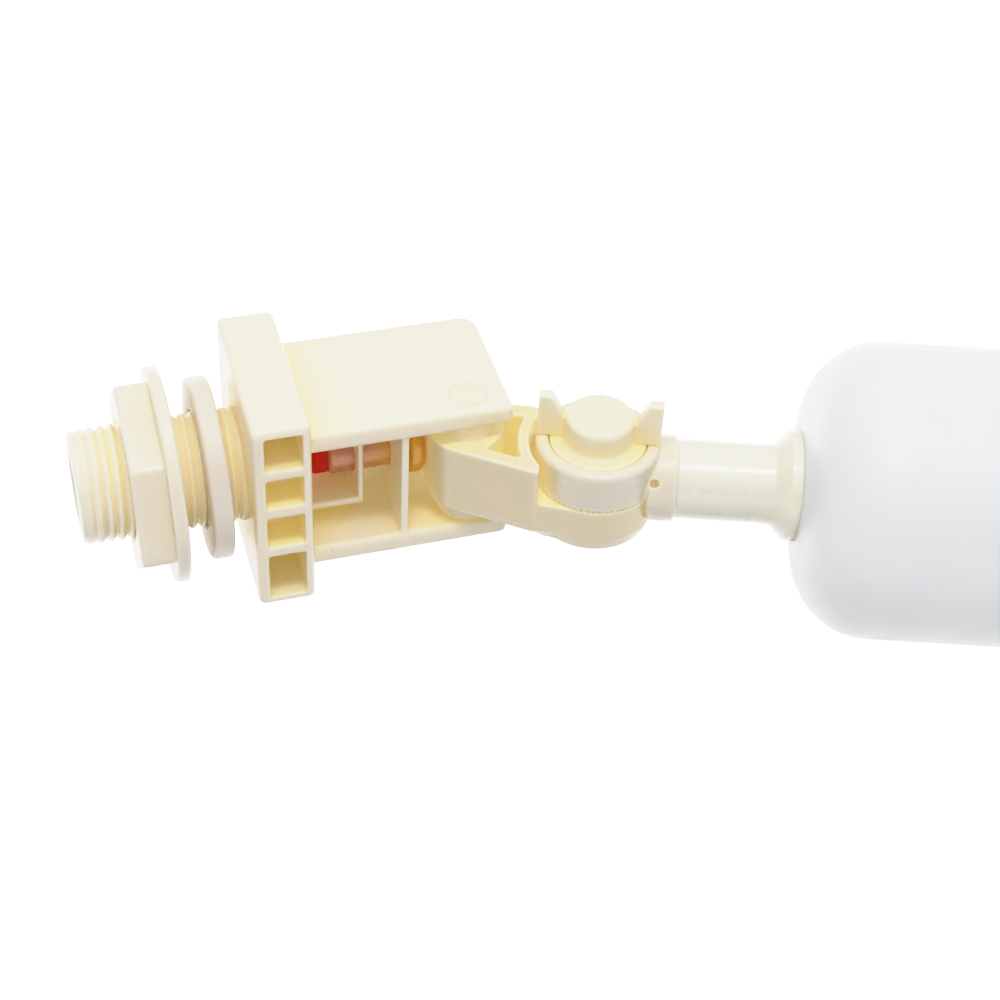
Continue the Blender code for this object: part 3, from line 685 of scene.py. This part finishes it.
# ---- float arm ----

def float_stem(mat):
    """Tube with a spigot in the collar, a flare at the float and a plug inside the float."""
    end = FLARE_S + PLUG_T
    spigot_r = SOCKET_R - 0.15
    profile = rounded([(4.2, end, 0), (PLUG_R, end, 0.4), (PLUG_R, FLARE_S, 0), (FLARE_R, FLARE_S, 0.3),
                       (FLARE_R, FLARE_S - 2.3, 0.55), (TUBE_R + 0.15, 32.3, 0.9), (TUBE_R, 30.6, 0),
                       (TUBE_R, TUBE_S, 0), (spigot_r, TUBE_S, 0), (spigot_r, SPIGOT_S, 0),
                       (3.9, SPIGOT_S, 0), (4.2, 17.9, 0)], closed=True)
    mesh = moved(turned(profile, 128, closed=True), ALONG_ARM)
    piece("float_stem", mesh, "arm", mat, ["float_stem"])


def float_profile():
    """Blown shell from the axis at the far end, inside to the neck and back outside to the axis."""
    s0, s1 = FLOAT_S
    wall = FLOAT_WALL
    recess = FLARE_S + 0.3
    steps = 20
    angles = [math.pi / 2 * i / steps for i in range(steps + 1)]
    near = [(FLOAT_R - FLOAT_NEAR_R + FLOAT_NEAR_R * math.sin(a), s0 + 0.8 + 13.7 * (1 - math.cos(a)))
            for a in angles]
    far = [(FLOAT_R - FLOAT_FAR_R + FLOAT_FAR_R * math.sin(a), s1 - FLOAT_FAR_R * (1 - math.cos(a)))
           for a in angles]
    side = [(FLOAT_R, near[-1][1] + (far[-1][1] - near[-1][1]) * i / 24) for i in range(1, 24)]
    inside = [(0, s1 - wall)]
    inside += [(max(r - wall, 0.5), s - wall * (1 - i / steps)) for i, (r, s) in enumerate(far)]
    inside += [(r - wall, s) for r, s in side[::-1]]
    inside += [(r - wall * (1 - 0.2 * i / steps), s + wall * i / steps)
               for i, (r, s) in enumerate(near[::-1])]
    neck = [(7.0, recess + wall), (7.0, recess), (FLARE_R - 0.1, recess), (FLARE_R - 0.08, s0 + 0.35),
            (10.6, s0 + 0.05), (12.0, s0 + 0.25)]
    return inside + neck + near[1:] + side + far[::-1] + [(0, s1)]


def float_shell(mat):
    """The float with the slight unevenness of a blown wall."""
    mesh = turned(float_profile(), 160)
    for vertex in mesh.vertices:
        radial = Vector((vertex.co.x, vertex.co.y, 0))
        if radial.length > 12:
            dent = noise.noise(vertex.co * 0.05) * 0.12 - 0.12
            vertex.co += radial.normalized() * dent
    piece("float_shell", moved(mesh, ALONG_ARM), "arm", mat, ["float_shell"])


# ---- materials ----

HOLLOW_REACH = 9 * MM               # how near a wall counts as making a hollow, for the painted shade and painted light there
EDGE_HIGHLIGHT_REACH = 1.0 * MM                # how thin an edge gets the painted highlight
MOTTLE_SCALE = 60
GLOSS_SCALE = 350
SPECK_SCALE = 260
SPECK_TINT = (0.25, 0.2, 0.12)
SKIN = (1600, 4.0, 0.12, 0.02 * MM)     # scale, detail, strength and height of the fine grain
WAVES = (130, 1.0, 0.25, 0.06 * MM)     # and of the slight unevenness of the faces


def map_range(tree, value, source, target):
    """Node that carries a value linearly from one range to another."""
    node = tree.nodes.new("ShaderNodeMapRange")
    for key, number in zip(("From Min", "From Max", "To Min", "To Max"), (*source, *target)):
        node.inputs[key].default_value = number
    tree.links.new(value, node.inputs["Value"])
    return node.outputs["Result"]


def plastic(name, light, painted_hollow_tint, roughness, scatter=0.4, reach=2.2, painted_glow=(0.0, 0.0), speckle=0.0, rim=None,
            shine=0.5, fade=None, spread=(1.0, 0.72, 0.34)):
    """Moulded plastic: uneven tint, painted shade and painted light in hollows, a fine satin skin and light
    that travels inside.

    light is the tint of open faces, the hollow tint is painted shade and painted light in hollows, and rim
    is a painted highlight on thin edges.  scatter, reach (mm) and spread (per colour) say how light travels
    inside.  The emission strengths, in hollows and on open faces, are painted light; speckle is the
    strength of dark specks, and fade a second tint with the two places along X (mm) between which it takes
    over.
    """
    mat = bpy.data.materials.new(name)
    mat.use_nodes = True
    tree = mat.node_tree
    shader = tree.nodes["Principled BSDF"]
    where = tree.nodes.new("ShaderNodeTexCoord").outputs["Object"]

    def noise_at(scale, detail=3.0):
        node = tree.nodes.new("ShaderNodeTexNoise")
        node.inputs["Scale"].default_value = scale
        node.inputs["Detail"].default_value = detail
        tree.links.new(where, node.inputs["Vector"])
        return node.outputs["Fac"]

    def ranged(value, low, high, from_low=0.35, from_high=0.65):
        return map_range(tree, value, (from_low, from_high), (low, high))

    def mixed(factor, a, b):
        node = tree.nodes.new("ShaderNodeMix")
        node.data_type = "RGBA"
        for socket, value in ((node.inputs["Factor"], factor), (node.inputs[6], a), (node.inputs[7], b)):
            if isinstance(value, bpy.types.NodeSocket):
                tree.links.new(value, socket)
            elif isinstance(value, float):
                socket.default_value = value
            else:
                socket.default_value = (*value, 1.0)
        return node.outputs[2]

    def openness(distance, inside):
        node = tree.nodes.new("ShaderNodeAmbientOcclusion")
        node.inside = inside
        node.inputs["Distance"].default_value = distance
        node.samples = 4
        return node.outputs["AO"]

    def bump(surface, before=None):
        scale, detail, strength, height = surface
        node = tree.nodes.new("ShaderNodeBump")
        node.inputs["Strength"].default_value = strength
        node.inputs["Distance"].default_value = height
        tree.links.new(noise_at(scale, detail), node.inputs["Height"])
        if before:
            tree.links.new(before, node.inputs["Normal"])
        return node.outputs["Normal"]

    # Occlusion mask: hollows get painted shade and painted light, standing in for light coming through the
    # plastic walls
    painted_hollow_mask = openness(HOLLOW_REACH, False)
    tint = mixed(ranged(noise_at(MOTTLE_SCALE), 0.0, 0.5), light, tuple(c * 0.975 for c in light))
    # Painted highlight: thin and convex edges take a paler tint
    if rim:
        tint = mixed(ranged(openness(EDGE_HIGHLIGHT_REACH, True), 0.9, 0.0, 0.35, 0.9), tint, rim)
    # Painted shade and light: hollows take the warm hollow tint
    tint = mixed(ranged(painted_hollow_mask, 1.0, 0.0, 0.15, 0.9), tint, painted_hollow_tint)
    if fade:
        colour, start, end = fade
        split = tree.nodes.new("ShaderNodeSeparateXYZ")
        tree.links.new(where, split.inputs[0])
        tint = mixed(ranged(split.outputs["X"], 0.0, 1.0, start * MM, end * MM), tint, colour)
    if speckle:
        spots = tree.nodes.new("ShaderNodeTexVoronoi")
        spots.inputs["Scale"].default_value = SPECK_SCALE
        tree.links.new(where, spots.inputs["Vector"])
        tint = mixed(ranged(spots.outputs["Distance"], speckle, 0.0, 0.035, 0.05), tint, SPECK_TINT)
    gloss = ranged(noise_at(GLOSS_SCALE), roughness - 0.05, roughness + 0.06)
    # The emission is painted light: hollows give off light as if lit through their walls, though the
    # plastic is no lamp
    for key, socket in (("Base Color", tint), ("Emission Color", tint), ("Roughness", gloss),
                        ("Emission Strength", ranged(painted_hollow_mask, *painted_glow, 0.1, 0.75)),
                        ("Normal", bump(WAVES, bump(SKIN)))):
        tree.links.new(socket, shader.inputs[key])
    shader.inputs["IOR"].default_value = 1.5
    shader.inputs["Specular IOR Level"].default_value = shine
    shader.inputs["Subsurface Weight"].default_value = scatter
    shader.inputs["Subsurface Radius"].default_value = spread
    shader.inputs["Subsurface Scale"].default_value = reach * MM
    return mat


# ---- floor, light, camera ----

def stage_floor():
    """White floor just under the part, bright enough to leave no shadow."""
    reach = FLOOR_REACH
    height = cad_box[0].z - FLOOR_DROP
    corners = [(-reach, -reach, height), (reach, -reach, height),
               (reach, reach, height), (-reach, reach, height)]
    mesh = bpy.data.meshes.new("floor")
    mesh.from_pydata(corners, [], [(0, 1, 2, 3)])
    floor = object_of("floor", mesh)
    mat = bpy.data.materials.new("floor")
    mat.use_nodes = True
    shader = mat.node_tree.nodes["Principled BSDF"]
    shader.inputs["Base Color"].default_value = (0.9, 0.9, 0.9, 1)
    shader.inputs["Roughness"].default_value = 0.9
    shader.inputs["Emission Color"].default_value = (1, 1, 1, 1)
    shader.inputs["Emission Strength"].default_value = 2.0
    mesh.materials.append(mat)
    floor.visible_diffuse = False


def world_light():
    """Even studio light, strongest from above."""
    world = bpy.data.worlds.new("studio")
    world.use_nodes = True
    tree = world.node_tree
    back = tree.nodes["Background"]
    coords = tree.nodes.new("ShaderNodeTexCoord")
    split = tree.nodes.new("ShaderNodeSeparateXYZ")
    tree.links.new(coords.outputs["Generated"], split.inputs[0])
    tree.links.new(map_range(tree, split.outputs["Z"], (-1.0, 1.0), SKY), back.inputs["Strength"])
    back.inputs["Color"].default_value = (1, 1, 1, 1)
    bpy.context.scene.world = world


def tone():
    """Plain display transform with a soft shoulder, so that bright plastic rolls off to white."""
    view = bpy.context.scene.view_settings
    view.view_transform = "Standard"
    view.use_curve_mapping = True
    view.curve_mapping.clip_max_x = SHOULDER[-1][0]
    view.curve_mapping.use_clip = False
    points = view.curve_mapping.curves[3].points
    points[0].location = (0, 0)
    points[1].location = SHOULDER[-1]
    for place in SHOULDER[:-1]:
        points.new(*place)
    view.curve_mapping.update()


def key_light():
    lamp = bpy.data.lights.new("key", "AREA")
    lamp.shape = "RECTANGLE"
    lamp.size, lamp.size_y = KEY_SIZE
    lamp.energy = KEY_WATTS
    key = object_of("key", lamp)
    key.location = KEY_TARGET + KEY_OFFSET
    key.rotation_euler = (KEY_TARGET - key.location).to_track_quat("-Z", "Y").to_euler()


def camera():
    """The photo's camera, as it was fitted to the block, the plates and the round parts."""
    data = bpy.data.cameras.new("camera")
    data.lens = LENS_MM
    data.sensor_width = 36
    data.clip_start = 0.01
    azimuth, elevation, roll = (math.radians(angle) for angle in CAMERA_ANGLES)
    level = math.cos(elevation)
    back = Vector((math.sin(azimuth) * level, -math.cos(azimuth) * level, math.sin(elevation)))
    turn = (-back).to_track_quat("-Z", "Y").to_matrix().to_4x4()
    cam = object_of("camera", data)
    cam.matrix_world = Matrix.Translation(CAMERA_AT) @ turn @ Matrix.Rotation(roll, 4, "Z")
    bpy.context.scene.camera = cam


def main():
    """Each piece in its own plastic: light tint, hollow tint (painted shade and light), roughness and what
    sets it apart.
    """
    # Paler tint for thin edges: a painted highlight
    painted_edge_highlight = (0.92, 0.90, 0.83)
    valve_body(plastic("ivory_plastic", (0.865, 0.782, 0.615), (0.97, 0.81, 0.36), 0.34,
                       painted_glow=(0.06, 0.0), speckle=0.5, rim=painted_edge_highlight))
    inlet_stem(plastic("thread_plastic", (0.85, 0.78, 0.63), (0.96, 0.81, 0.50), 0.34,
                       painted_glow=(0.07, 0.0), rim=painted_edge_highlight))
    pivot_pin(plastic("pin_plastic", (0.855, 0.77, 0.59), (0.93, 0.80, 0.50), 0.34))
    lock_nut(plastic("nut_plastic", (0.79, 0.72, 0.59), (0.90, 0.79, 0.51), 0.36, rim=painted_edge_highlight))
    sealing_washer(plastic("washer_rubber", (0.73, 0.665, 0.59), (0.80, 0.70, 0.58), 0.42,
                           scatter=0.5, reach=2.5))
    # The plunger's tint is partly painted light: red near the seal stands in for the seal seen through it,
    # and the amber fade towards the head for shade
    plunger(plastic("plunger_plastic", (0.64, 0.25, 0.12), (0.70, 0.27, 0.12), 0.28,
                    scatter=0.3, reach=2.0, fade=((0.83, 0.45, 0.02), 20.0, 31.0)))
    # The seal's painted emission lights it in the hollow of the cage
    plunger_seal(plastic("seal_rubber", (0.60, 0.014, 0.002), (0.58, 0.012, 0.001), 0.6,
                         scatter=0.1, reach=1.0, painted_glow=(0.3, 0.0), shine=0.12))
    lever(plastic("lever_plastic", (0.77, 0.665, 0.45), (0.97, 0.855, 0.48), 0.33,
                  painted_glow=(0.14, 0.0), rim=painted_edge_highlight))
    arm_head(plastic("arm_plastic", (0.75, 0.69, 0.575), (0.92, 0.80, 0.50), 0.32,
                     painted_glow=(0.05, 0.0), rim=painted_edge_highlight))
    wing_bolt(plastic("bolt_plastic", (0.82, 0.75, 0.57), (0.94, 0.78, 0.34), 0.34,
                      painted_glow=(0.07, 0.0), rim=painted_edge_highlight))
    float_stem(plastic("stem_plastic", (0.815, 0.785, 0.66), (0.86, 0.80, 0.64), 0.24, scatter=0.2))
    # The float has painted emission all over, standing in for light spread through its wall
    float_shell(plastic("float_plastic", (0.87, 0.895, 0.91), (0.90, 0.91, 0.91), 0.4,
                        scatter=1.0, reach=6.0, painted_glow=(0.07, 0.065), spread=(1.0, 0.95, 0.85)))
    stage_floor()
    world_light()
    key_light()
    camera()
    tone()


main()
